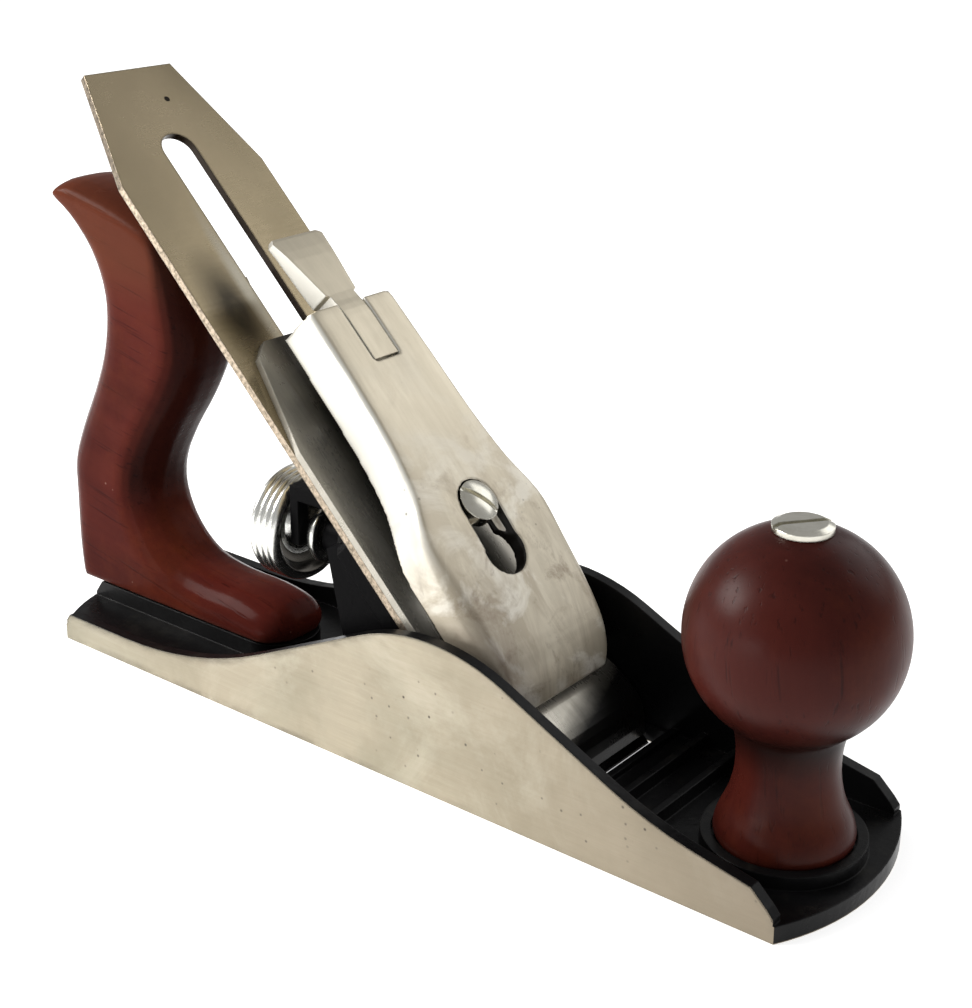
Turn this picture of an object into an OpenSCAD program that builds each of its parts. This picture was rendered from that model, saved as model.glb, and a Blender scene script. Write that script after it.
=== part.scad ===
// Cast-iron bench plane with a 45 degree bed, smoothing size.
// Frame: +X to the toe, +Y to the left of a user who faces the toe, +Z up. The origin is the
// middle of the sole, on the face that slides on the wood.

/* [Body casting] */
// Length of the sole between its corners
sole_l = 241; // [238:1:253]
// Width of the sole
sole_w = 61; // [60:0.5:66]
// Thickness of the sole plate
sole_t = 4.5; // [3.5:0.25:5.5]
// How far the toe curves out past its corners
toe_bow = 8.5; // [6:0.5:11]
// How far the heel curves out past its corners
heel_bow = 11; // [8:0.5:13]
// Thickness of a side cheek
cheek_t = 3.2; // [2.6:0.1:3.8]
// Height of the hump of a cheek
hump_h = 42.4; // [38:0.5:46]
// Place of the hump along the plane
hump_x = 20.5; // [16:0.5:25]
// Radius of the top of the hump
hump_r = 55; // [45:1:65]
// Height of a cheek behind the hump
heel_h = 8; // [7:0.5:10]
// Height of a cheek where it rounds down to the toe
toe_h = 12; // [10:0.5:14]
// Place where the front face of the cutting iron meets the sole
mouth_x = 49.5; // [47:0.5:52]
// Gap of the mouth in front of the iron
mouth_gap = 4.5; // [4.3:0.1:6]
// Height of the seat under the frog
seat_h = 10; // [9:0.5:11]
// Height of the boss under the tote
tote_seat_h = 9.5; // [8:0.5:11]

/* [Bed and irons] */
// Angle of the bed above the sole
bed_angle = 45; // [44:0.5:46]
// Width of the cutting iron
iron_w = 50.8; // [48:0.2:51]
// Thickness of the cutting iron
iron_t = 2.2; // [1.8:0.1:2.6]
// Length of the cutting iron
iron_l = 233; // [215:1:240]
// Width of the slot in the cutting iron
slot_w = 11.2; // [10.8:0.1:12]
// Thickness of the cap iron
cap_iron_t = 2.2; // [1.8:0.1:2.4]
// Distance from the cutting edge to the top end of the cap iron
cap_iron_s = 142; // [138:1:146]

/* [Lever cap] */
// Distance from the cutting edge to the lip of the lever cap
lip_s = 23.5; // [22.5:0.5:24.5]
// Distance from the cutting edge to the top end of the lever cap
cap_s = 137.5; // [136.5:0.5:138.5]
// Height of the top face of the lever cap above the iron
cap_h = 22.5; // [21.5:0.25:23]
// Half width of the lever cap at its widest
cap_half_w = 25.2; // [24:0.2:25.6]
// Diameter of the head of the lever cap screw
head_d = 11.6; // [11:0.1:12]
// Travel of the lever cap up the bed that frees it from its screw
cap_travel = 14; // [13:0.5:15]

/* [Knob and tote] */
// Diameter of the ball of the knob
knob_d = 52.6; // [46:0.2:56]
// Height of the centre of the ball above the sole
knob_ball_z = 59.5; // [56:0.5:63]
// Distance from the tip of the toe to the axis of the knob
knob_inset = 24; // [22:0.5:27]
// Thickness of the tote
tote_w = 25; // [22:0.5:28]

/* [Depth wheel] */
// Diameter of the depth wheel
wheel_d = 32; // [28:0.5:34]
// Height of the axis of the depth wheel
wheel_z = 45.5; // [44.5:0.25:46.5]

/* [Fits] */
// Radial clearance of a turning fit
run_fit = 0.05; // [0.03:0.01:0.08]
// Radial clearance of a fixed pin or screw in its hole
snug_fit = 0.02; // [0.01:0.01:0.03]
// Clearance between pieces that pass each other
gap = 0.3; // [0.2:0.05:0.4]

/* [Hidden] */
$fn = 64;
eps = 0.01;

half_w = sole_w / 2;
corner_x = sole_l / 2;
toe_tip = corner_x + toe_bow;
heel_tip = corner_x + heel_bow;
inner_half = half_w - cheek_t;
corner_lap = 0.2;
cheek_x = corner_x - 2 * corner_lap;

// Slopes of a cheek: the steep runs beside the hump and the shallow run to the toe
steep = 25;
shallow = 11;
heel_blend_r = 128;
toe_blend_r = 100;
toe_end_x = cheek_x - 6;

// Iron and frog, in the bed's own frame: s up the bed, w out of the iron's front face
edge_s = 0.3;
iron_shoulder_s = iron_l - 36;
iron_top_half = 15.2;
slot_s0 = 54;
slot_s1 = iron_l - 28.5;
iron_x = iron_t / sin(bed_angle);
mouth_rear = mouth_x - iron_x - 1.6;
mouth_half = iron_w / 2 + 1.1;
frog_top = -iron_t;
frog_plate = 7;
frog_back = frog_top - frog_plate;
frog_half = 23.5;
frog_s0 = 8;
frog_s1 = 97;
frog_travel = 1;
frog_front_h = 7;
base_t = 7;
base_x0 = mouth_x - 62;
base_x1 = mouth_x - 24;
frog_screw_x = mouth_x - 40;
frog_screw_y = 14;
frog_screw_d = 5.6;
washer_t = 1.2;

// Places up the bed
cap_screw_s = 60;
lever_screw_s = 75;
yoke_tip_s = 90;
yoke_pin_s = 94;
yoke_pin_w = -10;
yoke_pin_d = 3;
roller_s = 101;
roller_d = slot_w - 0.5;
lateral_s = 114;
lateral_t = 1.8;
lateral_top = frog_top - 0.4;
tongue_top = lateral_top - lateral_t - 0.1;
tongue_half = 11;

// Depth wheel, along X
stud_d = 6;
boss_end = mouth_x - 88;
wheel_back = mouth_x - 107.5;
wheel_front = wheel_back + 10.5;
groove_w = 5.6;
neck_r = 5.6;
flange_r = 9;
flange_t = 2.2;
fork_x = wheel_front + groove_w / 2;
fork_t = 3;
fork_in = neck_r + 0.9;
fork_out = fork_in + 4;

// Lever cap, in the bed's frame
cam_s = cap_s - 8;
cam_w = cap_h - 7;
cam_pin_d = 4;
cam_pin_half = 14;
cam_r = 6.3;
cam_swing = 12.1;
tongue_end = 9.5;
slot_half = 4.8;
key_s = lever_screw_s - cap_travel;
pocket_w = cap_h - 4.8;
cap_plate = 5;

// Tote: points [x, z, roundness of the edge], back up over the horn and down the front
tote_heel_x = -heel_tip - 3;
tote_w_half = tote_w / 2;
// Reach of the tote's front and of the space for the thumb, ahead of its heel
tote_reach = 65.9;
tote_edge_r = 10;
tote_shape = [
    [-4, 0, 0.7], [-5, 6, 0.75], [-6, 15, 0.9], [-6.3, 26, 1], [-5.8, 38, 1], [-1, 50, 1],
    [5.2, 62, 1], [10.2, 74, 1], [12.4, 85, 1], [12, 94, 0.95], [8.6, 103, 0.8], [2.5, 111.5, 0.5],
    [-3.9, 117, 0.3], [-4.3, 120.5, 0.3], [2, 123.4, 0.4], [15, 122, 0.5], [29.5, 118.2, 0.5],
    [39, 114, 0.5], [43.5, 108, 0.6], [47, 97.5, 0.9], [49.6, 85, 1], [48.6, 74.5, 1],
    [42.5, 62.5, 1], [34, 50, 1], [28.3, 39, 1], [27.6, 30, 1], [32, 21, 1], [40.5, 14.6, 1],
    [53, 12.4, 1], [67, 12, 1], [77, 9.8, 0.9], [81.5, 4.8, 0.8], [81.5, 0, 0.8]];
tote_toe_x = tote_heel_x + tote_shape[len(tote_shape) - 1][0];
rod_top = [tote_heel_x + 32, tote_seat_h + 113];
rod_foot = [tote_heel_x + 15, tote_seat_h];
rod_lean = atan2(rod_top[0] - rod_foot[0], rod_top[1] - rod_foot[1]);
rod_len = norm(rod_top - rod_foot);
rod_d = 6;

knob_x = toe_tip - knob_inset;
knob_r = knob_d / 2;
knob_seat_z = sole_t + 1.5;
knob_ring_r = 20;
knob_foot_r = 17;
knob_cut_z = knob_ball_z + knob_r - 0.9;
nut_r = 7.2;

// Points of an arc round a centre
function arc(c, r, a0, a1, n) =
    [for (i = [0:n]) let (a = a0 + (a1 - a0) * i / n) [c[0] + r * cos(a), c[1] + r * sin(a)]];

// One point of a smooth curve through four neighbours, between the middle two
function spline(a, b, c, d, t) = 0.5 * ((2 * b) + (c - a) * t
    + (2 * a - 5 * b + 4 * c - d) * t * t + (3 * b - a - 3 * c + d) * t * t * t);

// A smooth open curve through a list of points
function smooth(p, n) = let (m = len(p) - 1) concat(
    [for (i = [0:m - 1], k = [0:n - 1])
        spline(p[max(i - 1, 0)], p[i], p[i + 1], p[min(i + 2, m)], k / n)], [p[m]]);

// Triangles that close a ring, zipped up from its two ends by the shorter diagonal
function zip(p, i, j) = i + 1 >= j ? [] :
    norm(p[i + 1] - p[j]) <= norm(p[i] - p[j - 1])
        ? concat([[i, i + 1, j]], zip(p, i + 1, j))
        : concat([[i, j - 1, j]], zip(p, i, j - 1));

// A closed skin over a row of rings that have the same number of points
module skin(rings) {
    n = len(rings[0]);
    m = len(rings);
    points = [for (r = rings, p = r) p];
    sides = [for (j = [0:m - 2], i = [0:n - 1]) let (k = (i + 1) % n)
        each [[j * n + i, j * n + k, (j + 1) * n + k], [j * n + i, (j + 1) * n + k, (j + 1) * n + i]]];
    first = [for (f = zip(rings[0], 0, n - 1)) [f[2], f[1], f[0]]];
    last = [for (f = zip(rings[m - 1], 0, n - 1)) [for (i = f) (m - 1) * n + i]];
    polyhedron(points, concat(sides, first, last), convexity = 8);
}

// Puts its children in the bed's frame: X runs up the bed, Z out of the iron's front face
module on_bed() {
    translate([mouth_x, 0, 0])
        rotate([0, -bed_angle, 180])
            children();
}

// Turns an outline in X and Z into a plate of the given width across the plane
module across(width) {
    rotate([90, 0, 0])
        linear_extrude(width, center = true)
            children();
}

// A rod along the bed's normal, or across it
module peg(s, w0, w1, r) {
    translate([s, 0, w0])
        cylinder(h = w1 - w0, r = r);
}

module cross_pin(s, w, r, half) {
    translate([s, 0, w])
        rotate([90, 0, 0])
            cylinder(h = 2 * half, r = r, center = true);
}

// Body casting
hump_c = [hump_x, hump_h - hump_r];
front_t = hump_c + hump_r * [sin(steep), cos(steep)];
rear_t = hump_c + hump_r * [-sin(steep), cos(steep)];
heel_join_z = heel_h + heel_blend_r * (1 - cos(steep));
heel_c = [rear_t[0] - (rear_t[1] - heel_join_z) / tan(steep) - heel_blend_r * sin(steep),
    heel_h + heel_blend_r];
toe_cx = (front_t[1] - toe_h + (toe_blend_r * sin(steep) + front_t[0]) * tan(steep)
    - (toe_end_x + toe_blend_r * sin(shallow)) * tan(shallow)
    + toe_blend_r * (cos(steep) - cos(shallow))) / (tan(steep) - tan(shallow));
toe_c = [toe_cx, toe_h + (toe_end_x - toe_cx + toe_blend_r * sin(shallow)) * tan(shallow)
    + toe_blend_r * cos(shallow)];
heel_corner_r = 4.5;

cheek_outline = concat(
    [[cheek_x, 0], [cheek_x, sole_t + 1.5]],
    [[cheek_x - 1.6, sole_t + 3.4], [toe_end_x, toe_h]],
    arc(toe_c, toe_blend_r, 270 - shallow, 270 - steep, 4),
    arc(hump_c, hump_r, 90 - steep, 90 + steep, 12),
    arc(heel_c, heel_blend_r, 270 + steep, 270, 8),
    [[-cheek_x + 1.5, heel_h], [-cheek_x, heel_h - 2]],
    arc([-cheek_x + heel_corner_r, heel_corner_r], heel_corner_r, 180, 270, 5));

// Curved end of the sole, drawn towards +X
module bowed_end(bow) {
    r = (half_w * half_w + bow * bow) / (2 * bow);
    intersection() {
        translate([corner_x + bow - r, 0])
            circle(r = r, $fn = 128);
        translate([corner_x + bow, 0])
            square([2 * bow + 4 * corner_lap, sole_w], center = true);
    }
}

module sole_plan() {
    square([2 * (corner_x - corner_lap), sole_w], center = true);
    bowed_end(toe_bow);
    mirror([1, 0])
        bowed_end(heel_bow);
}

module cheeks() {
    for (side = [-1, 1])
        translate([0, side * (half_w - cheek_t / 2), 0])
            across(cheek_t)
                polygon(cheek_outline);
}

// Front pad behind the mouth and the higher pad that the frog is screwed to
module frog_seat() {
    mouth_slope = frog_front_h / tan(bed_angle);
    across(2 * inner_half + 1)
        polygon([[mouth_rear, 0], [mouth_rear - mouth_slope, frog_front_h],
            [base_x1 - frog_travel - 0.5, frog_front_h], [base_x1 - frog_travel - 0.5, 0]]);
    translate([base_x0 - 2, -frog_half, 0])
        cube([base_x1 - frog_travel - 0.5 - base_x0 + 2, 2 * frog_half, seat_h]);
}

module tote_seat() {
    foot_half = tote_w_half - 1;
    toe_r = foot_half;
    nose_x = tote_toe_x + 2 - toe_r;
    back_x = -heel_tip + 7;
    intersection() {
        across(2 * foot_half)
            polygon([[-heel_tip + 1.6, 0], [-heel_tip + 1.6, sole_t + 1], [back_x - 2.5, tote_seat_h],
                [nose_x + toe_r, tote_seat_h], [nose_x + toe_r, 0]]);
        union() {
            translate([-heel_tip, -foot_half, 0])
                cube([nose_x + heel_tip, 2 * foot_half, 2 * tote_seat_h]);
            translate([nose_x, 0, 0])
                cylinder(h = 2 * tote_seat_h, r = toe_r);
        }
    }
}

module cross_rib(x, h) {
    across(2 * inner_half + 1)
        polygon([[x - 1.6, 0], [x - 1, h], [x + 1, h], [x + 1.6, 0]]);
}

module body_casting() {
    rib_h = sole_t + 3.5;
    ring_h = sole_t + 3.6;
    color("dimgray")
    difference() {
        union() {
            linear_extrude(sole_t)
                sole_plan();
            cheeks();
            frog_seat();
            tote_seat();
            cross_rib(mouth_x + mouth_gap + 2.2, sole_t + 1.6);
            cross_rib(mouth_x + 16, rib_h);
            cross_rib(mouth_x + 27, rib_h);
            translate([knob_x, 0, 0])
                cylinder(h = ring_h, r = knob_ring_r);
        }
        // Mouth: square at the front, sloped with the bed behind the iron
        across(2 * mouth_half)
            polygon([[mouth_x + mouth_gap, -1], [mouth_x + mouth_gap, seat_h + 4],
                [mouth_rear - (seat_h + 4) / tan(bed_angle), seat_h + 4],
                [mouth_rear + 1 / tan(bed_angle), -1]]);
        // Recess that takes the foot of the knob, and the holes of the rods and screws
        translate([knob_x, 0, knob_seat_z])
            cylinder(h = 10, r = knob_foot_r + gap);
        translate([knob_x, 0, 1])
            cylinder(h = 20, r = rod_d / 2 + snug_fit);
        translate([rod_foot[0], 0, rod_foot[1]])
            rotate([0, rod_lean, 0])
                translate([0, 0, -7])
                    cylinder(h = 20, r = rod_d / 2 + snug_fit);
        for (side = [-1, 1])
            translate([frog_screw_x, side * frog_screw_y, 2])
                cylinder(h = 20, r = frog_screw_d / 2 + snug_fit);
    }
}

// Knob, with its rod and its slotted nut
knob_waist = [[knob_foot_r - 1.2, 0], [knob_foot_r - 0.2, 1.6], [knob_foot_r, 3.6], [16, 7],
    [14, 11.5], [12.7, 17], [12.4, 21.5], [12.7, 26], [13.8, 31], [15.4, 35]];

module knob() {
    waist_h = 35;
    nut_z = knob_cut_z;
    color("#6e2f24")
    difference() {
        union() {
            translate([knob_x, 0, knob_seat_z])
                rotate_extrude()
                    polygon(concat([[0, 0]], smooth(knob_waist, 3), [[0, waist_h]]));
            translate([knob_x, 0, knob_ball_z])
                intersection() {
                    sphere(r = knob_r);
                    translate([0, 0, -knob_ball_z + knob_seat_z + waist_h - 3])
                        cylinder(h = knob_cut_z - knob_seat_z - waist_h + 3, r = knob_r + 1);
                }
        }
        translate([knob_x, 0, 0])
            cylinder(h = 2 * knob_ball_z, r = rod_d / 2 + gap / 2);
        translate([knob_x, 0, nut_z - 9])
            cylinder(h = 20, r = 4.6 + gap / 2);
    }
}

module knob_rod() {
    color("silver")
        translate([knob_x, 0, 1])
            cylinder(h = knob_cut_z - 3, r = rod_d / 2);
}

module slotted_nut(flange_r, slot_at) {
    difference() {
        union() {
            translate([0, 0, -8.5])
                cylinder(h = 8.6, r = 4.6);
            cylinder(h = 1.4, r = flange_r);
            translate([0, 0, 1.4])
                cylinder(h = 0.7, r1 = flange_r, r2 = flange_r - 1.6);
        }
        translate([0, 0, -9])
            cylinder(h = 7, r = rod_d / 2 + snug_fit);
        rotate([0, 0, slot_at])
            translate([-10, -0.8, 0.9])
                cube([20, 1.6, 3]);
    }
}

module knob_nut() {
    color("gainsboro")
        translate([knob_x, 0, knob_cut_z])
            slotted_nut(nut_r, 52);
}

// Tote: its outline is drawn in towards the flat sides, so that every edge is rounded
tote_line = [for (p = smooth(tote_shape, 3)) [p[0] + tote_heel_x, p[1] + tote_seat_h, p[2]]];

function tote_ring(y, inset) = let (n = len(tote_line)) [for (i = [0:n - 1]) let (
        p = tote_line[i], a = tote_line[max(i - 1, 0)], b = tote_line[min(i + 1, n - 1)],
        d = [b[0] - a[0], b[1] - a[1]], m = norm(d), k = inset * p[2] / m)
    [p[0] + d[1] * k, y, p[1] - d[0] * k]];

module tote() {
    turns = [0, 22, 42, 60, 76, 90];
    flat = tote_w_half - tote_edge_r;
    half = [for (a = turns) [flat + tote_edge_r * sin(a), tote_edge_r * (1 - cos(a))]];
    last = len(half) - 1;
    color("#6e2f24")
    difference() {
        skin(concat([for (i = [last:-1:0]) tote_ring(half[i][0], half[i][1])],
            [for (i = [0:last]) tote_ring(-half[i][0], half[i][1])]));
        translate([rod_foot[0], 0, rod_foot[1]])
            rotate([0, rod_lean, 0]) {
                translate([0, 0, -10])
                    cylinder(h = rod_len + 20, r = rod_d / 2 + gap / 2);
                translate([0, 0, rod_len - 9])
                    cylinder(h = 30, r = 4.6 + gap / 2);
                translate([0, 0, rod_len])
                    cylinder(h = 30, r = 5.8 + gap);
            }
    }
}

module tote_rod() {
    color("silver")
        translate([rod_foot[0], 0, rod_foot[1]])
            rotate([0, rod_lean, 0])
                translate([0, 0, -6])
                    cylinder(h = rod_len + 3.5, r = rod_d / 2);
}

module tote_nut() {
    color("gainsboro")
        translate([rod_foot[0], 0, rod_foot[1]])
            rotate([0, rod_lean, 0])
                translate([0, 0, rod_len])
                    slotted_nut(5.8, 0);
}

// Frog
frog_bed_plan = [[frog_s0, -frog_half], [84, -frog_half], [frog_s1, -12.5], [frog_s1, 12.5],
    [84, frog_half], [frog_s0, frog_half]];

module frog_solid() {
    on_bed() {
        translate([0, 0, frog_back])
            linear_extrude(frog_plate)
                polygon(frog_bed_plan);
        // Tongue under the lateral lever
        translate([frog_s1 - 4, -tongue_half, tongue_top - 5])
            cube([lateral_s - 4 - frog_s1 + 4, 2 * tongue_half, 5]);
        translate([lateral_s - 4, 0, tongue_top - 5])
            cylinder(h = 5, r = tongue_half);
        // Ears that hold the pin of the yoke
        for (side = [-1, 1])
            translate([yoke_pin_s - 6, side * 9 - 2.5, yoke_pin_w - 4])
                cube([12, 5, 6]);
    }
    translate([base_x0, -frog_half + 1.5, seat_h])
        cube([base_x1 - base_x0 + 12, 2 * frog_half - 3, base_t]);
    // Side webs, and the middle web with the boss of the stud
    for (side = [-1, 1])
        translate([0, side * (frog_half - 4), 0])
            across(5)
                polygon([[base_x1, seat_h + 1], [base_x0, seat_h + 1], [base_x0 - 1, seat_h + base_t],
                    [mouth_x - 71, 53], [mouth_x - 66, 56], [mouth_x - 40, 28]]);
    across(8)
        polygon([[base_x1, seat_h + 1], [base_x0, seat_h + 1], [base_x0, seat_h + base_t],
            [boss_end + 1, wheel_z - 5], [boss_end + 1, wheel_z], [mouth_x - 60, wheel_z + 4],
            [mouth_x - 40, 28]]);
    translate([mouth_x - 56, 0, wheel_z])
        rotate([0, -90, 0])
            cylinder(h = mouth_x - 56 - boss_end, r = 6.3);
}

module frog() {
    slide = frog_travel + gap;
    color("dimgray")
    difference() {
        frog_solid();
        // Everything below the two levels of the seat
        translate([base_x0 - 30, -50, -50])
            cube([base_x1 - base_x0 + 30, 100, 50 + seat_h]);
        translate([base_x1 - 1, -50, -50])
            cube([60, 100, 50 + frog_front_h]);
        on_bed() {
            // The bed itself
            translate([-10, -50, frog_top])
                cube([iron_l, 100, 60]);
            // Recess of the cap iron screw, hole of the lever cap screw, slot of the yoke
            translate([cap_screw_s - 9, -8.5, frog_top - 4.4])
                cube([18, 17, 10]);
            peg(lever_screw_s, -40, 5, 3.25 + snug_fit);
            translate([yoke_tip_s - 4, -3.3 - gap, frog_back - 6])
                cube([11, 6.6 + 2 * gap, 20]);
            translate([yoke_pin_s - 4.2, -6.5, frog_back - 6])
                cube([8.4, 13, 9]);
            cross_pin(yoke_pin_s, yoke_pin_w, yoke_pin_d / 2 + snug_fit, 20);
            // Space of the lateral lever
            translate([frog_s1 - 2.5, -9, tongue_top])
                cube([40, 18, 10]);
            peg(lateral_s, -20, 0, 2.5 + snug_fit);
        }
        // Windows and slots of the two frog screws
        for (side = [-1, 1])
            translate([frog_screw_x, side * frog_screw_y, 0]) {
                translate([0, 0, seat_h + base_t])
                    cylinder(h = 60, r = 6.4 + frog_travel);
                for (end = [-slide, slide])
                    translate([end, 0, 0])
                        cylinder(h = 40, r = frog_screw_d / 2 + gap);
                translate([-slide, -frog_screw_d / 2 - gap, 0])
                    cube([2 * slide, frog_screw_d + 2 * gap, 40]);
            }
        // Hole of the stud
        translate([mouth_x - 64, 0, wheel_z])
            rotate([0, -90, 0])
                cylinder(h = 60, r = stud_d / 2 + snug_fit);
    }
}

module frog_screws() {
    top = seat_h + base_t + washer_t;
    color("silver")
    for (side = [-1, 1])
        translate([frog_screw_x, side * frog_screw_y, 0])
            difference() {
                union() {
                    translate([0, 0, 2.5])
                        cylinder(h = top - 2.5 + eps, r = frog_screw_d / 2);
                    translate([0, 0, top])
                        cylinder(h = 3.2, r = 4.6);
                }
                translate([-10, -0.6, top + 1.8])
                    cube([20, 1.2, 4]);
            }
}

module frog_washers() {
    color("silver")
    for (side = [-1, 1])
        translate([frog_screw_x, side * frog_screw_y, seat_h + base_t])
            difference() {
                cylinder(h = washer_t, r = 5.6);
                translate([0, 0, -1])
                    cylinder(h = washer_t + 2, r = frog_screw_d / 2 + snug_fit);
            }
}

// Depth adjustment: stud, knurled wheel and yoke
module depth_stud() {
    color("silver")
        translate([mouth_x - 66, 0, wheel_z])
            rotate([0, -90, 0])
                cylinder(h = mouth_x - 66 - wheel_back + 1.5, r = stud_d / 2);
}

module depth_wheel() {
    rim = wheel_d / 2;
    body = wheel_front - wheel_back;
    knurls = 48;
    color("gainsboro")
        translate([wheel_back, 0, wheel_z])
            rotate([0, 90, 0])
                difference() {
                    union() {
                        rotate_extrude()
                            polygon([[0, 0], [rim - 1.5, 0], [rim, 1.5], [rim, 3], [rim - 0.8, 3.4],
                                [rim - 0.8, 4], [rim, 4.4], [rim, 6.4], [rim - 0.8, 6.8],
                                [rim - 0.8, 7.4], [rim, 7.8], [rim, body - 1.2], [rim - 1.2, body],
                                [rim - 3, body], [rim - 4, body - 4], [neck_r + 2, body - 4],
                                [neck_r, body - 1], [neck_r, body + groove_w],
                                [flange_r, body + groove_w],
                                [flange_r, body + groove_w + flange_t], [0, body + groove_w + flange_t]]);
                    }
                    translate([0, 0, -1])
                        cylinder(h = 40, r = stud_d / 2 + run_fit);
                    for (i = [0:knurls - 1])
                        rotate([0, 0, i * 360 / knurls])
                            translate([rim, 0, 1.4])
                                rotate([0, 0, 45])
                                    cube([0.7, 0.7, 4.6], center = true);
                }
}

module yoke() {
    hub_half = 6.2;
    bar_z = 57;
    bar_t = 4;
    pin_at = [mouth_x - yoke_pin_s * cos(bed_angle) + yoke_pin_w * sin(bed_angle),
        yoke_pin_s * sin(bed_angle) + yoke_pin_w * cos(bed_angle)];
    color("dimgray")
    difference() {
        union() {
            on_bed() {
                cross_pin(yoke_pin_s, yoke_pin_w, 3.5, hub_half);
                // Finger that reaches through the slot of the iron into the cap iron
                across(6.6)
                    polygon([[yoke_pin_s - 3.2, yoke_pin_w - 1], [yoke_tip_s - 1.9, -3],
                        [yoke_tip_s - 1.9, 1.6], [yoke_tip_s + 1.9, 1.6], [yoke_tip_s + 1.9, -3],
                        [yoke_pin_s + 2.6, yoke_pin_w + 2]]);
            }
            // Bar back over the stud, which forks round the neck of the wheel
            translate([fork_x - fork_t / 2, -hub_half, bar_z])
                cube([pin_at[0] - fork_x + fork_t / 2, 2 * hub_half, bar_t]);
            translate([fork_x - fork_t / 2, -fork_out, bar_z])
                cube([15, 2 * fork_out, bar_t]);
            for (side = [-1, 1])
                translate([fork_x - fork_t / 2, side * (fork_in + fork_out) / 2 - 2, wheel_z - 1.5])
                    cube([fork_t, 4, bar_z - wheel_z + 2]);
        }
        on_bed()
            cross_pin(yoke_pin_s, yoke_pin_w, yoke_pin_d / 2 + run_fit, 20);
        translate([fork_x - 10, -fork_in, wheel_z - 5])
            cube([18, 2 * fork_in, 40]);
    }
}

module yoke_pin() {
    color("silver")
        on_bed()
            cross_pin(yoke_pin_s, yoke_pin_w, yoke_pin_d / 2, 11.5);
}

// Lateral adjustment: lever, its rivet, and the roller that turns the iron
module lateral_lever() {
    strip_half = 4;
    bend_s = lateral_s + 12;
    end_s = (mouth_x - tote_heel_x - tote_reach) / cos(bed_angle);
    drop = 5;
    tab_w = 9;
    low = lateral_top - lateral_t;
    color("silver")
        on_bed()
            difference() {
                union() {
                    translate([roller_s, 0, low])
                        cylinder(h = lateral_t, r = 4.6);
                    translate([lateral_s, 0, low])
                        cylinder(h = lateral_t, r = 6.5);
                    across(2 * strip_half)
                        polygon([[roller_s, low], [roller_s, lateral_top], [bend_s, lateral_top],
                            [end_s, lateral_top - drop], [end_s, lateral_top - drop - lateral_t],
                            [bend_s, low]]);
                    // Thumb tab, folded back from the end
                    across(tab_w)
                        polygon([[end_s - 2, lateral_top - drop], [end_s, lateral_top - drop],
                            [end_s + 1, lateral_top - drop - 8], [end_s - 1, lateral_top - drop - 8]]);
                }
                peg(lateral_s, -30, 0, 2.5 + run_fit);
                peg(roller_s, -30, 0, 1.5 + snug_fit);
            }
}

module lateral_rivet() {
    color("silver")
        on_bed() {
            peg(lateral_s, tongue_top - 6.5, lateral_top, 2.5);
            peg(lateral_s, tongue_top - 6.5, tongue_top - 5, 4);
        }
}

module lateral_roller() {
    color("silver")
        on_bed()
            difference() {
                peg(roller_s, lateral_top + 0.05, -0.2, roller_d / 2);
                peg(roller_s, -20, 5, 1.5 + run_fit);
            }
}

module roller_rivet() {
    color("silver")
        on_bed()
            peg(roller_s, lateral_top - lateral_t, -0.2, 1.5);
}

// Cutting iron
module plane_iron() {
    bevel = iron_t / tan(25);
    half = iron_w / 2;
    color("#9a917c")
        on_bed()
            difference() {
                intersection() {
                    translate([0, 0, -iron_t])
                        linear_extrude(iron_t)
                            polygon([[edge_s, -half], [iron_shoulder_s, -half],
                                [iron_l, -iron_top_half], [iron_l, iron_top_half],
                                [iron_shoulder_s, half], [edge_s, half]]);
                    across(iron_w + 2)
                        polygon([[edge_s, 0], [edge_s + bevel, -iron_t], [iron_l + 1, -iron_t],
                            [iron_l + 1, 0]]);
                }
                translate([slot_s0, -slot_w / 2, -10])
                    cube([slot_s1 - slot_s0, slot_w, 20]);
                peg(slot_s0, -10, 10, slot_w / 2);
                peg(slot_s1, -10, 10, slot_w / 2);
            }
}

// Cap iron: flat along the iron, with a hump whose edge presses close behind the cutting edge
hump_rise = 4.4;
hump_s = 13.5;
land_s = 3;
hump_foot_s = 27;
cap_hump_under = [for (i = [0:12]) let (s = land_s + 1.6 + (hump_foot_s - land_s - 1.6) * i / 12,
        run = s < hump_s ? hump_s - land_s - 1.6 : hump_foot_s - hump_s)
    [s, hump_rise * (1 - pow((s - hump_s) / run, 2))]];
cap_hump_over = [for (i = [12:-1:0]) let (s = land_s + (hump_foot_s + 3 - land_s) * i / 12,
        low = s < hump_s ? 0.4 : cap_iron_t,
        run = s < hump_s ? hump_s - land_s : hump_foot_s + 3 - hump_s)
    [s, low + (hump_rise + cap_iron_t - low) * (1 - pow((s - hump_s) / run, 2))]];

module cap_iron() {
    half = iron_w / 2;
    shoulder_s = 110;
    top_half = 18;
    color("#b8b2a4")
        on_bed()
            difference() {
                intersection() {
                    across(iron_w)
                        polygon(concat([[land_s, 0]], cap_hump_under, [[cap_iron_s, 0],
                            [cap_iron_s, cap_iron_t]], cap_hump_over));
                    translate([0, 0, -1])
                        linear_extrude(20)
                            polygon([[0, -half], [shoulder_s, -half], [cap_iron_s - 4, -top_half - 1.5],
                                [cap_iron_s, -top_half + 3], [cap_iron_s, top_half - 3],
                                [cap_iron_s - 4, top_half + 1.5], [shoulder_s, half], [0, half]]);
                }
                peg(cap_screw_s, -1, 10, 4 + snug_fit);
                // Long hole of the lever cap screw and square hole of the yoke
                translate([lever_screw_s - 4, -5, -1])
                    cube([8, 10, 10]);
                peg(lever_screw_s - 4, -1, 10, 5);
                peg(lever_screw_s + 4, -1, 10, 5);
                translate([yoke_tip_s - 1.9 - gap, -3.3 - gap, -1])
                    cube([3.8 + 2 * gap, 6.6 + 2 * gap, 10]);
            }
}

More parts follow.
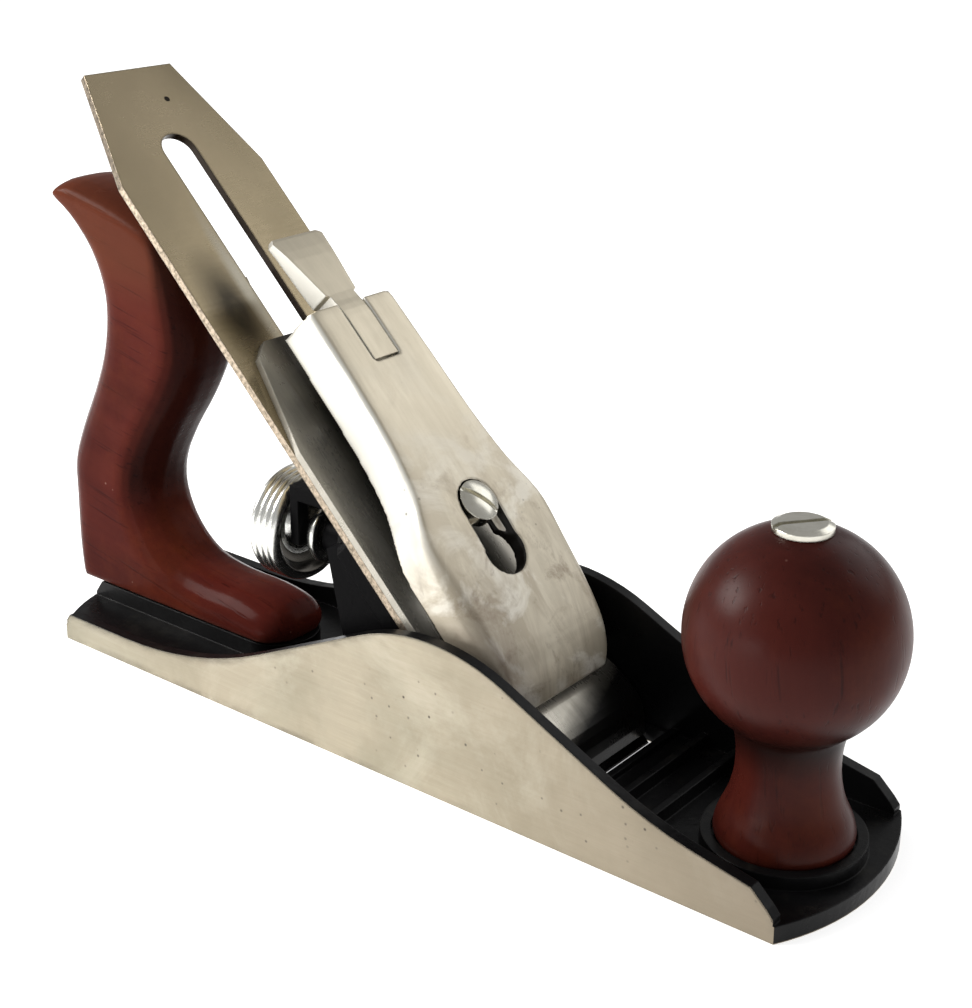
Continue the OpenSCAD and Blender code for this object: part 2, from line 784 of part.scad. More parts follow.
module cap_iron_screw() {
    head_r = 6.3;
    color("silver")
        on_bed()
            difference() {
                union() {
                    peg(cap_screw_s, frog_top - 3.2, frog_top, head_r);
                    peg(cap_screw_s, frog_top - eps, cap_iron_t, 4);
                }
                translate([cap_screw_s - 10, -0.7, frog_top - 4])
                    cube([20, 1.4, 2.2]);
            }
}

// Screw that the lever cap hooks under, with a domed slotted head
module lever_cap_screw() {
    head_h = 5;
    dome_r = 14;
    color("gainsboro")
        on_bed()
            difference() {
                union() {
                    peg(lever_screw_s, frog_back - 2, pocket_w + 0.1, 3.25);
                    intersection() {
                        peg(lever_screw_s, pocket_w + 0.05, pocket_w + head_h + 1, head_d / 2);
                        translate([lever_screw_s, 0, pocket_w + head_h - dome_r])
                            sphere(r = dome_r);
                    }
                }
                translate([lever_screw_s, 0, 0])
                    rotate([0, 0, 35])
                        translate([-10, -0.7, pocket_w + head_h - 1.6])
                            cube([20, 1.4, 5]);
            }
}

// Lever cap: rows of [s, half width at the foot, half width on top, foot, top, squareness]
cap_rows = [
    [lip_s, 0.77, 0.7, 6.9, 9.4, 2], [lip_s + 4, 0.86, 0.75, 6.9, 12.6, 2],
    [lip_s + 11, 0.94, 0.76, 7.4, cap_h - 6.4, 2], [lip_s + 22, 0.99, 0.78, 8.2, cap_h - 4.4, 2.1],
    [lip_s + 34, 1, 0.8, 8.6, cap_h - 3.2, 2.4], [lip_s + 45, 0.98, 0.82, 8.8, cap_h - 2.2, 3.2],
    [lip_s + 52, 0.89, 0.74, 9, cap_h - 1.6, 4.4], [lip_s + 60, 0.77, 0.62, 9.2, cap_h - 1, 5.4],
    [lip_s + 74, 0.68, 0.54, 9.4, cap_h - 0.4, 6], [lip_s + 92, 0.645, 0.51, 9.4, cap_h, 6],
    [cap_s - 2, 0.625, 0.49, 9.4, cap_h, 6], [cap_s, 0.61, 0.475, 9.4, cap_h - 0.5, 6]];

function cap_ring(r) = let (
        foot = cap_half_w * r[1], top = cap_half_w * r[2], h = r[4] - r[3],
        side = [for (a = [0:15:90]) [top + (foot - top) * pow(cos(a), 2 / r[5]),
            r[3] + h * pow(sin(a), 2 / r[5])]])
    concat([for (p = side) [r[0], -p[0], p[1]]],
        [for (i = [len(side) - 1:-1:0]) [r[0], side[i][0], side[i][1]]]);

function cap_hollow(r) = let (half = cap_half_w * r[1] - 3.2, top = r[4] - cap_plate)
    [[r[0], -half, -5], [r[0], -half, top - 2.5], [r[0], -half + 2.5, top],
    [r[0], half - 2.5, top], [r[0], half, top - 2.5], [r[0], half, -5]];

module lever_cap() {
    rows = smooth(cap_rows, 3);
    under = [for (r = rows) if (r[0] > lip_s + 12 && r[0] < cap_s - 1) r];
    end = under[len(under) - 1];
    color("#cfc6b4")
        on_bed()
            difference() {
                skin([for (r = rows) cap_ring(r)]);
                skin([for (r = concat(under, [[cap_s + 5, end[1], end[2], end[3], end[4], end[5]]]))
                    cap_hollow(r)]);
                // Keyhole: the large hole, the narrow way and the pocket of the screw's head
                peg(key_s, -5, 40, head_d / 2 + 0.9);
                translate([key_s, -3.25 - gap, -5])
                    cube([cap_travel, 6.5 + 2 * gap, 40]);
                peg(lever_screw_s, -5, 40, 3.25 + gap);
                translate([key_s, -head_d / 2 - gap, pocket_w])
                    cube([cap_travel, head_d + 2 * gap, 20]);
                peg(lever_screw_s, pocket_w, 40, head_d / 2 + gap);
                // Slot of the cam lever and bore of its pin
                translate([cam_s - tongue_end - 0.4, -slot_half, -5])
                    cube([40, 2 * slot_half, 40]);
                cross_pin(cam_s, cam_w, cam_swing, slot_half);
                cross_pin(cam_s, cam_w, cam_pin_d / 2 + snug_fit, cam_pin_half + 0.1);
                peg(cam_s - 21, 0, cap_h - 2, 1.5 + snug_fit);
            }
}

spring_w = 9;
spring_seat = cap_h - cap_plate - 1.3;
spring_line = smooth([[cam_s - 27, spring_seat], [cam_s - 18, spring_seat],
    [cam_s - 15, spring_seat - 2.5], [cam_s - 13.8, 7.5], [cam_s - 10.5, 3.6], [cam_s - 5, 2.6],
    [cam_s + 2, 2.5], [cam_s + 7, 3.4]], 4);

module cap_spring() {
    color("silver")
        on_bed()
            difference() {
                across(spring_w)
                    polygon(concat(spring_line, [for (i = [len(spring_line) - 1:-1:0])
                        spring_line[i] + [0, 0.8]]));
                peg(cam_s - 21, 0, cap_h, 1.5 + snug_fit);
            }
}

module spring_rivet() {
    color("silver")
        on_bed() {
            peg(cam_s - 21, spring_seat - 1.2, spring_seat, 2.6);
            peg(cam_s - 21, spring_seat - eps, cap_h - 2.5, 1.5);
        }
}

module cam_pin() {
    color("silver")
        on_bed()
            cross_pin(cam_s, cam_w, cam_pin_d / 2, cam_pin_half);
}

module cam_lever() {
    tongue = slot_half - 0.4;
    wide_s = cam_s + 11.8;
    end_s = cam_s + 32.5;
    top = cap_h - 0.2;
    end_top = cap_h - 3.9;
    color("#cfc6b4")
        on_bed()
            difference() {
                union() {
                    cross_pin(cam_s, cam_w, cam_r, tongue);
                    // Lobe that presses on the spring
                    cross_pin(cam_s, cam_w - 8, 3.9, tongue);
                    translate([cam_s - 3.9, -tongue, cam_w - 8])
                        cube([7.8, 2 * tongue, 8]);
                    intersection() {
                        translate([0, 0, cam_w - 3])
                            linear_extrude(14)
                                polygon([[cam_s - tongue_end, -tongue], [wide_s - 0.6, -tongue],
                                    [wide_s, -tongue - 1.2], [end_s - 4, -8.6], [end_s - 1.5, -9.2],
                                    [end_s, -8], [end_s, 8], [end_s - 1.5, 9.2], [end_s - 4, 8.6],
                                    [wide_s, tongue + 1.2], [wide_s - 0.6, tongue],
                                    [cam_s - tongue_end, tongue]]);
                        across(30)
                            polygon(concat([[cam_s - tongue_end, cam_w + 2], [cam_s - 5, cam_w]],
                                smooth([[cam_s + 5, cam_w - 1.5], [wide_s, cam_w - 1.2],
                                    [wide_s + 8, cam_w - 0.4], [end_s - 4, cam_w + 0.6],
                                    [end_s, cam_w + 0.8]], 3),
                                [[end_s + 0.3, end_top - 0.6]],
                                smooth([[end_s - 0.8, end_top], [end_s - 8, end_top + 1.2],
                                    [wide_s, top - 1.2], [cam_s + 6, top - 0.2], [cam_s, top],
                                    [cam_s - tongue_end, top]], 3)));
                    }
                }
                cross_pin(cam_s, cam_w, cam_pin_d / 2 + run_fit, 30);
            }
}

body_casting();
knob();
knob_rod();
knob_nut();
tote();
tote_rod();
tote_nut();
frog();
frog_screws();
frog_washers();
depth_stud();
depth_wheel();
yoke();
yoke_pin();
lateral_lever();
lateral_rivet();
lateral_roller();
roller_rivet();
plane_iron();
cap_iron();
cap_iron_screw();
lever_cap_screw();
lever_cap();
cap_spring();
spring_rivet();
cam_pin();
cam_lever();
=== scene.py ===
"""Looks of a cast-iron bench plane: body casting, frog, irons, lever cap, wooden knob and tote."""
import math

import bmesh
import bpy
from mathutils import Matrix, Vector


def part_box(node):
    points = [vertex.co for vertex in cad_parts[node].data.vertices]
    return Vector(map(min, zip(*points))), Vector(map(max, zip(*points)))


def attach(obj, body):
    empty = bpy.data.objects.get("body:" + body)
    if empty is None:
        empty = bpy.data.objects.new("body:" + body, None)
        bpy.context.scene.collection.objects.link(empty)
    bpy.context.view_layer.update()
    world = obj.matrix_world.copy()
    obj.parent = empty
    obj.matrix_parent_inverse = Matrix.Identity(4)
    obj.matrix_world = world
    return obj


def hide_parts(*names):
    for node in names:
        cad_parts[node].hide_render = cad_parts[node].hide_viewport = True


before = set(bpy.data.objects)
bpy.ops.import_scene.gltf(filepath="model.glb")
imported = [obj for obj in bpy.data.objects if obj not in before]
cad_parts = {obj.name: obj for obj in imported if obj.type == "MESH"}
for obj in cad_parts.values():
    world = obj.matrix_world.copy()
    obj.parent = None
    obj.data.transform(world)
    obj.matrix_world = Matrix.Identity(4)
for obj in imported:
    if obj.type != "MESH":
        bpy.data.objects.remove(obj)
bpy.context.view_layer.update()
MM = 0.001

# The bed slopes at 45 degrees; it meets the sole at MOUTH_X, in mm
S = math.sqrt(0.5)
MOUTH_X = 49.5
BED_NORMAL = (S, 0, S)
IRON_SLOT = {"half": 0.0075, "low": 0.02, "high": 0.212}
KEYHOLE = {"half": 0.0095, "low": 0.050, "high": 0.100}
PIT, PIT_RADIUS = (-0.1071, 0.0065, 0.1566), 0.0009

# Outer faces of the cheeks, the sole, and how high the bare metal reaches without a lap of paint
CHEEK_Y, SOLE_Z, LAP_Z = 0.0304, 0.0002, 0.0055

# Depth wheel: its place and rim from the solid, its thick part, bore, neck and flange
wheel_lo, wheel_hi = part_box("depth_wheel")
BACK, LENGTH = wheel_lo[0], wheel_hi[0] - wheel_lo[0]
WHEEL_Z, RIM = (wheel_lo[2] + wheel_hi[2]) / 2, (wheel_hi[2] - wheel_lo[2]) / 2
BODY, BORE, NECK = 10.5 * MM, 3.12 * MM, 5.6 * MM
FLANGE_R, FLANGE_T = 9 * MM, 2.2 * MM


# Shader graphs

class Graph:
    """A material and short names for the nodes that it is made of."""

    def __init__(self, name):
        self.mat = bpy.data.materials.new(name)
        self.mat.use_nodes = True
        self.tree = self.mat.node_tree
        self.tree.nodes.clear()
        self.out = self.node("OutputMaterial")
        self.bsdf = self.node("BsdfPrincipled")
        self.link(self.bsdf.outputs[0], self.out.inputs["Surface"])
        self.coord = self.node("TexCoord").outputs["Object"]
        self.geo = self.node("NewGeometry")

    def node(self, kind):
        return self.tree.nodes.new("ShaderNode" + kind)

    def link(self, a, b):
        self.tree.links.new(a, b)

    def put(self, value, socket):
        if isinstance(value, bpy.types.NodeSocket):
            self.link(value, socket)
        else:
            socket.default_value = value

    def mapped(self, scale=(1, 1, 1), turn=(0, 0, 0), shift=(0, 0, 0), source=None):
        n = self.node("Mapping")
        n.inputs["Scale"].default_value = scale
        n.inputs["Rotation"].default_value = turn
        n.inputs["Location"].default_value = shift
        self.link(source or self.coord, n.inputs["Vector"])
        return n.outputs[0]

    def noise(self, scale, detail=3, rough=0.5, vec=None, warp=0.0):
        n = self.node("TexNoise")
        n.inputs["Scale"].default_value = scale
        n.inputs["Detail"].default_value = detail
        n.inputs["Roughness"].default_value = rough
        n.inputs["Distortion"].default_value = warp
        self.link(vec or self.coord, n.inputs["Vector"])
        return n.outputs["Fac"]

    def spots(self, scale):
        n = self.node("TexVoronoi")
        n.inputs["Scale"].default_value = scale
        self.link(self.coord, n.inputs["Vector"])
        return n.outputs["Distance"]

    def ramp(self, fac, *stops):
        n = self.node("ValToRGB")
        e = n.color_ramp.elements
        while len(e) < len(stops):
            e.new(0.5)
        for el, (at, col) in zip(e, stops):
            el.position = at
            el.color = (*col, 1) if isinstance(col, tuple) else (col, col, col, 1)
        self.link(fac, n.inputs["Fac"])
        return n.outputs["Color"]

    def math(self, op, a, b=0.0):
        n = self.node("Math")
        n.operation = op
        self.put(a, n.inputs[0])
        self.put(b, n.inputs[1])
        return n.outputs[0]

    def mix(self, fac, a, b, blend="MIX"):
        n = self.node("Mix")
        n.data_type = "RGBA"
        n.blend_type = blend
        self.put(fac, n.inputs["Factor"])
        self.put((*a, 1) if isinstance(a, tuple) else a, n.inputs["A"])
        self.put((*b, 1) if isinstance(b, tuple) else b, n.inputs["B"])
        return n.outputs["Result"]

    def blend(self, fac, a, b):
        """A number between a and b."""
        n = self.node("Mix")
        self.put(fac, n.inputs["Factor"])
        self.put(a, n.inputs["A"])
        self.put(b, n.inputs["B"])
        return n.outputs["Result"]

    def axis(self, vector, which):
        n = self.node("SeparateXYZ")
        self.link(vector, n.inputs[0])
        return n.outputs[which]

    def up_bed(self):
        """Distance up the bed from the mouth, in metres."""
        rise = self.math("SUBTRACT", self.axis(self.coord, "Z"), self.axis(self.coord, "X"))
        return self.math("MULTIPLY", self.math("ADD", rise, MOUTH_X * MM), S)

    def on_bed(self, scale=(1, 1, 1), turn=0.0):
        """The place on the bed: up it in x, across it in y."""
        n = self.node("CombineXYZ")
        self.link(self.up_bed(), n.inputs[0])
        self.link(self.axis(self.coord, "Y"), n.inputs[1])
        return self.mapped(scale, (0, 0, math.radians(turn)), source=n.outputs[0])

    def beside(self):
        """Distance to either side of the middle, in metres."""
        return self.math("ABSOLUTE", self.axis(self.coord, "Y"))

    def sideways(self):
        """How far the surface faces either side, from 0 to 1."""
        return self.math("ABSOLUTE", self.axis(self.geo.outputs["Normal"], "Y"))

    def vector(self, op, a, b=(0, 0, 0)):
        """The number that an operation on vectors gives."""
        n = self.node("VectorMath")
        n.operation = op
        self.link(a, n.inputs[0])
        self.put(b, n.inputs[1])
        return n.outputs["Value"]

    def facing(self, direction):
        """How far the surface faces a direction, from -1 to 1."""
        return self.vector("DOT_PRODUCT", self.geo.outputs["Normal"], direction)

    def every(self, *masks):
        """The product of several masks."""
        total = masks[0]
        for mask in masks[1:]:
            total = self.math("MULTIPLY", total, mask)
        return total

    def patch(self, s, y, half_s, half_y):
        """A soft round patch on the bed, 1 in its middle and 0 at its rim; sizes in mm."""
        out = self.mapped((1 / (half_s * MM), 1 / (half_y * MM), 1),
                          shift=(-s / half_s, -y / half_y, 0), source=self.on_bed())
        return self.ramp(self.vector("LENGTH", out), (0.25, 1.0), (1.0, 0.0))

    def cut_out(self, half, low, high):
        """1 within a half width of the middle and between two places up the bed, in metres."""
        return self.every(self.math("LESS_THAN", self.beside(), half),
                          self.math("GREATER_THAN", self.up_bed(), low),
                          self.math("LESS_THAN", self.up_bed(), high))

    def mouth_shade(self):
        """Painted shadow of the casting low on the irons, reaching higher up the bed on the far side."""
        near_edge, slope, start, rough = 0.025, 0.37, 0.016, 0.003
        across = self.math("ADD", self.axis(self.coord, "Y"), near_edge)
        top = self.math("ADD", self.math("MULTIPLY", across, slope), start)
        depth = self.math("SUBTRACT", top, self.up_bed())
        depth = self.math("ADD", depth, self.math("MULTIPLY", self.noise(200, 4, 0.6), rough))
        return self.ramp(depth, (0.008, 0.0), (0.014, 1.0))

    def near(self, place, radius):
        """1 inside a small ball round a place, 0 outside."""
        return self.math("LESS_THAN", self.vector("DISTANCE", self.coord, place), radius)

    def bump(self, height, strength=0.3, distance=0.0003, normal=None):
        n = self.node("Bump")
        n.inputs["Strength"].default_value = strength
        n.inputs["Distance"].default_value = distance
        self.link(height, n.inputs["Height"])
        if normal is not None:
            self.link(normal, n.inputs["Normal"])
        return n.outputs[0]

    def round_edges(self, radius):
        n = self.node("Bevel")
        n.samples = 4
        n.inputs["Radius"].default_value = radius
        return n.outputs[0]

    def edge_mask(self, radius):
        """1 near a sharp edge, 0 on flat ground."""
        turned = self.vector("DOT_PRODUCT", self.round_edges(radius), self.geo.outputs["Normal"])
        return self.ramp(self.math("SUBTRACT", 1.0, turned), (0.0, 0.0), (0.12, 1.0))

    def worn_rough(self, cloud, amount, base):
        """Roughness that wanders by an amount round a base."""
        return self.math("ADD", self.math("MULTIPLY", self.math("SUBTRACT", cloud, 0.5), amount), base)

    def finish(self, color, rough, metallic=0.0, normal=None, **fixed):
        b = self.bsdf.inputs
        self.put((*color, 1) if isinstance(color, tuple) else color, b["Base Color"])
        self.put(rough, b["Roughness"])
        self.put(metallic, b["Metallic"])
        if normal is not None:
            self.link(normal, b["Normal"])
        for k, v in fixed.items():
            b[k.replace("_", " ")].default_value = v
        return self.mat


def paint(g):
    """Colour, roughness and height of black japanning with a little dust on what faces up."""
    peel = g.noise(420, 2)
    up = g.ramp(g.axis(g.geo.outputs["Normal"], "Z"), (0.2, 0.0), (0.95, 1.0))
    dust = g.math("MULTIPLY", g.ramp(g.noise(95, 6, 0.7), (0.52, 0.0), (0.78, 1.0)), up)
    color = g.mix(dust, (0.0035, 0.0034, 0.0037), (0.016, 0.0145, 0.012))
    return color, g.ramp(g.noise(60, 5, 0.6), (0.3, 0.24), (0.75, 0.45)), peel


def japanned():
    g = Graph("japanning")
    color, rough, peel = paint(g)
    return g.finish(color, rough, 0.0, g.bump(peel, 0.25, 0.0004, g.round_edges(0.0006)), IOR=1.09)


def body_metal():
    g = Graph("casting")
    black, black_rough, peel = paint(g)
    # Bare ground iron, streaked along the plane
    streak = g.noise(30, 8, 0.75, g.mapped((1.2, 18, 40)))
    cloud = g.noise(28, 6, 0.65)
    pits = g.every(g.ramp(g.spots(260), (0.05, 1.0), (0.13, 0.0)),
                   g.ramp(g.noise(35, 2), (0.5, 0.0), (0.62, 1.0)))
    bare = g.ramp(streak, (0.25, (0.39, 0.345, 0.26)), (0.5, (0.425, 0.375, 0.285)),
                  (0.8, (0.46, 0.41, 0.315)))
    bare = g.mix(g.ramp(cloud, (0.45, 0.0), (0.66, 0.7)), bare, (0.31, 0.275, 0.20))
    pale = g.ramp(g.noise(24, 6, 0.7, g.mapped(shift=(7, 1, 3)), 0.8), (0.5, 0.0), (0.68, 0.55))
    bare = g.mix(pale, bare, (0.55, 0.51, 0.41))
    blotch = g.noise(17, 7, 0.7, g.mapped((0.7, 1, 1), shift=(1, 2, 6)), 0.5)
    bare = g.mix(g.ramp(blotch, (0.45, 0.0), (0.7, 0.55)), bare, (0.33, 0.315, 0.24))
    toe = g.axis(g.coord, "X")
    heel = g.math("MULTIPLY", toe, -1.0)
    bare = g.mix(g.ramp(toe, (0.02, 0.0), (0.115, 0.8)), bare, (0.235, 0.195, 0.145))
    bare = g.mix(g.ramp(heel, (0.06, 0.0), (0.125, 0.4)), bare, (0.29, 0.285, 0.22))
    bare = g.mix(pits, bare, (0.10, 0.085, 0.07))
    smear = g.ramp(g.noise(70, 6, 0.7, g.mapped((0.6, 1, 1.6))), (0.4, 0.0), (0.6, 1.0))
    rear = g.ramp(toe, (-0.125, 1.0), (-0.03, 0.25))
    bare = g.mix(g.every(g.edge_mask(0.004), smear, rear, 0.85), bare, (0.07, 0.062, 0.05))
    bare_rough = g.ramp(streak, (0.2, 0.52), (0.8, 0.38))
    # Bare where the outer faces and the sole are ground; the paint laps a little over the edges
    height = g.axis(g.coord, "Z")
    outer = g.every(g.math("GREATER_THAN", g.beside(), CHEEK_Y), g.math("GREATER_THAN", g.sideways(), 0.9))
    sole = g.math("LESS_THAN", height, SOLE_Z)
    edge = g.math("ADD", g.edge_mask(0.0012), g.math("MULTIPLY", g.noise(160, 4, 0.7), 0.9))
    lap = g.every(g.math("GREATER_THAN", edge, 0.98), g.math("GREATER_THAN", height, LAP_Z))
    mask = g.math("MAXIMUM", g.every(outer, g.math("SUBTRACT", 1.0, lap)), sole)
    relief = g.blend(mask, peel, g.math("SUBTRACT", streak, pits))
    return g.finish(g.mix(mask, black, bare), g.blend(mask, black_rough, bare_rough),
                    g.math("MULTIPLY", mask, 0.7),
                    g.bump(relief, 0.25, 0.0003, g.round_edges(0.0005)), Specular_IOR_Level=0.13)


def neck_painted_shade(g):
    """Painted shade under the ball of the knob."""
    height = g.axis(g.coord, "Z")
    return g.every(g.ramp(height, (0.026, 0.0), (0.034, 1.0)),
                   g.ramp(height, (0.040, 1.0), (0.050, 0.0)), 0.85)


def front_shade(g):
    """Painted shade down the front of the tote's grip."""
    return g.every(g.ramp(g.facing((1, 0, 0)), (0.05, 0.0), (0.6, 0.8)),
                   g.ramp(g.axis(g.coord, "Z"), (0.03, 0.0), (0.045, 1.0)))


def wood(name, along, painted_shade, tone, ior, gloss):
    """Stained wood: the turn that brings its grain upright, its painted shade, and how dark and glossy it
    is.
    """
    g = Graph(name)
    grain = g.mapped((1, 1, 1), along)
    bands = g.noise(42, 6, 0.62, g.mapped((1, 1, 0.14), source=grain), 0.5)
    fibre = g.noise(420, 4, 0.7, g.mapped((1, 1, 0.05), source=grain))
    pores = g.ramp(g.noise(700, 2, 0.6, g.mapped((1, 1, 0.04), source=grain)), (0.6, 0.0), (0.72, 1.0))
    color = g.ramp(bands, (0.25, (0.038, 0.0060, 0.0042)), (0.5, (0.062, 0.0100, 0.0070)),
                   (0.78, (0.088, 0.0165, 0.0105)))
    color = g.mix(g.every(g.ramp(fibre, (0.3, 0.0), (0.8, 1.0)), 0.22), color, (0.088, 0.018, 0.011))
    color = g.mix(g.every(pores, 0.6), color, (0.020, 0.004, 0.0035))
    worn = g.ramp(g.noise(26, 6, 0.7), (0.5, 0.0), (0.7, 0.6))
    color = g.mix(worn, color, (0.105, 0.022, 0.0085))
    dark = g.ramp(g.noise(19, 5, 0.6, g.mapped(shift=(3, 1, 2))), (0.5, 0.0), (0.75, 0.65))
    color = g.mix(dark, color, (0.022, 0.0035, 0.0028))
    specks = g.every(g.ramp(g.spots(190), (0.04, 1.0), (0.09, 0.0)),
                     g.ramp(g.noise(60, 2, 0.5, g.mapped(shift=(5, 5, 1))), (0.6, 0.0), (0.66, 1.0)), 0.75)
    color = g.mix(specks, color, (0.24, 0.12, 0.095))
    # Painted highlight along the ridges and edges, broken up by noise
    ridge = g.every(g.edge_mask(0.0016), g.ramp(g.noise(110, 4, 0.7), (0.4, 0.1), (0.6, 0.9)))
    color = g.mix(ridge, color, (0.22, 0.085, 0.06))
    horn = g.ramp(g.axis(g.coord, "Z"), (0.100, 0.0), (0.112, 0.4))
    color = g.mix(horn, color, (0.135, 0.045, 0.022))
    # Painted shade, from the mask given for the piece
    color = g.mix(painted_shade(g), color, (0.006, 0.0025, 0.002))
    color = g.mix(1.0, color, (tone, tone, tone), "MULTIPLY")
    rough = g.ramp(g.noise(55, 5, 0.6), (0.3, gloss), (0.75, gloss + 0.15))
    relief = g.math("SUBTRACT", g.math("MULTIPLY", fibre, 0.4), pores)
    return g.finish(color, rough, 0.0, g.bump(relief, 0.2, 0.0002), IOR=ior)


def steel(name, dark, mid, light, rough, stains=0.3, metallic=0.9):
    """Plain metal in three tones, with light stains."""
    g = Graph(name)
    streak = g.noise(60, 8, 0.75)
    cloud = g.noise(42, 6, 0.65, warp=0.3)
    color = g.ramp(streak, (0.28, dark), (0.5, mid), (0.75, light))
    color = g.mix(g.ramp(cloud, (0.45, 0.0), (0.8, stains)), color, (0.12, 0.10, 0.075))
    rough = g.worn_rough(cloud, 0.25, g.ramp(streak, (0.2, rough * 1.15), (0.8, rough * 0.85)))
    return g.finish(color, rough, metallic, g.bump(streak, 0.12, 0.0001, g.round_edges(0.0004)))


def iron_steel():
    """Blade steel: brown tarnish on its face, bright speckled edges and one small dark pit."""
    g = Graph("tool_steel")
    across = g.noise(70, 8, 0.75, g.on_bed((14, 1, 1)))
    along = g.noise(45, 6, 0.7, g.on_bed((1, 9, 1)))
    cloud = g.noise(38, 6, 0.65, warp=0.3)
    face = g.ramp(across, (0.3, (0.335, 0.272, 0.168)), (0.5, (0.37, 0.302, 0.19)),
                  (0.75, (0.41, 0.338, 0.222)))
    face = g.mix(g.ramp(along, (0.35, 0.0), (0.7, 0.28)), face, (0.30, 0.245, 0.15))
    face = g.mix(g.ramp(cloud, (0.5, 0.0), (0.8, 0.4)), face, (0.25, 0.20, 0.12))
    face = g.mix(g.ramp(g.up_bed(), (0.17, 0.0), (0.215, 0.8)), face, (0.47, 0.385, 0.25))
    # Painted shade, darker towards the far side of the face
    face = g.mix(g.ramp(g.axis(g.coord, "Y"), (0.003, 0.0), (0.02, 0.6)), face, (0.22, 0.18, 0.11))
    # Painted shadow: a dark patch on the near side, high up the face
    painted_shade = g.every(g.patch(154, -15, 22, 10), g.ramp(g.noise(120, 5, 0.6), (0.2, 0.8), (0.6, 1.0)), 0.95)
    face = g.mix(painted_shade, face, (0.03, 0.025, 0.018))
    # Painted reflection: a pale band up the near edge of the slot
    face = g.mix(g.every(g.patch(160, -7.6, 30, 3.0), 0.8), face, (0.40, 0.375, 0.31))
    specks = g.noise(900, 3, 0.6)
    side = g.ramp(specks, (0.35, (0.20, 0.165, 0.12)), (0.6, (0.50, 0.41, 0.31)))
    # Painted shade along the edges, broken up by noise
    rim = g.every(g.edge_mask(0.0007), g.ramp(g.noise(140, 4, 0.7), (0.42, 0.0), (0.6, 0.8)))
    color = g.mix(g.math("GREATER_THAN", g.sideways(), 0.6), face, side)
    color = g.mix(rim, color, (0.10, 0.085, 0.06))
    # Painted shade on the walls and round the rim of the slot
    wall = g.math("LESS_THAN", g.math("ABSOLUTE", g.facing(BED_NORMAL)), 0.75)
    slot_shade = g.math("MAXIMUM", wall, g.math("MULTIPLY", g.edge_mask(0.0011), 0.8))
    color = g.mix(g.every(g.cut_out(**IRON_SLOT), slot_shade), color, (0.016, 0.011, 0.007))
    color = g.mix(g.mouth_shade(), color, (0.012, 0.010, 0.009))
    pit = g.near(PIT, PIT_RADIUS)
    color = g.mix(pit, color, (0.02, 0.015, 0.01))
    rough = g.worn_rough(cloud, 0.2, g.ramp(across, (0.2, 0.29), (0.8, 0.23)))
    relief = g.math("SUBTRACT", across, g.math("MULTIPLY", pit, 3.0))
    return g.finish(color, rough, 0.85, g.bump(relief, 0.06, 0.0001, g.round_edges(0.0005)))


def satin_plate(name, worn):
    """Satin plate, clean at the top; where worn is 1, stained, streaked and pitted on its lower half, with
    painted shade at its near foot and keyhole.
    """
    g = Graph(name)
    brush = g.noise(50, 8, 0.7, g.on_bed((1, 8, 1)))
    cloud = g.noise(46, 6, 0.62, warp=0.6)
    low = g.ramp(g.math("ADD", g.up_bed(), g.math("MULTIPLY", g.noise(40, 3), 0.03)),
                 (0.07, worn), (0.125, 0.12 * worn))
    color = g.ramp(brush, (0.3, (0.56, 0.505, 0.39)), (0.5, (0.60, 0.54, 0.42)), (0.75, (0.65, 0.59, 0.465)))
    smears = g.ramp(g.noise(60, 6, 0.65, g.on_bed((0.45, 1.6, 1), 24), 0.8), (0.42, 0.0), (0.56, 0.95))
    color = g.mix(g.every(smears, low), color, (0.46, 0.40, 0.30))
    spots = g.ramp(cloud, (0.5, 0.0), (0.6, 0.95))
    color = g.mix(g.every(spots, low), color, (0.80, 0.76, 0.66))
    rust = g.ramp(g.noise(85, 7, 0.7, g.mapped(shift=(2, 4, 1)), 0.4), (0.54, 0.0), (0.68, 0.8))
    color = g.mix(g.every(rust, low), color, (0.27, 0.21, 0.145))
    # Painted highlight on the sides
    side = g.every(g.ramp(g.sideways(), (0.35, 0.0), (0.7, 0.9)),
                   g.ramp(g.up_bed(), (0.058, 0.0), (0.078, 1.0)))
    color = g.mix(side, color, (0.78, 0.765, 0.70))
    if worn:
        # Painted shade, brownish, along the near foot
        near_edge = g.ramp(g.math("MULTIPLY", g.axis(g.coord, "Y"), -1.0), (0.006, 0.0), (0.0245, 1.0))
        foot = g.every(near_edge, g.ramp(g.up_bed(), (0.030, 1.0), (0.062, 0.0)), 0.8)
        color = g.mix(foot, color, (0.10, 0.070, 0.060))
    pits = g.every(g.ramp(g.spots(230), (0.05, 1.0), (0.11, 0.0)),
                   g.ramp(g.noise(48, 2), (0.56, 0.0), (0.66, 1.0)),
                   g.ramp(low, (0.1, 0.25), (0.9, 1.0)))
    color = g.mix(pits, color, (0.04, 0.032, 0.022))
    if worn:
        # Black inside the hollow, where the casting is rough, and painted shade on the walls of the keyhole
        out = g.facing(BED_NORMAL)
        walls = g.every(g.cut_out(**KEYHOLE), g.math("LESS_THAN", out, 0.72))
        black = g.math("MAXIMUM", g.math("LESS_THAN", out, -0.3), walls)
        color = g.mix(black, color, (0.012, 0.010, 0.008))
    relief = g.math("SUBTRACT", g.math("ADD", g.math("MULTIPLY", brush, 0.5), cloud), pits)
    rough = g.math("ADD", g.ramp(brush, (0.2, 0.38), (0.8, 0.31)), g.math("MULTIPLY", spots, 0.06))
    return g.finish(color, rough, g.blend(low, 0.8, 0.3),
                    g.bump(relief, 0.14, 0.0002, g.round_edges(0.0006)))


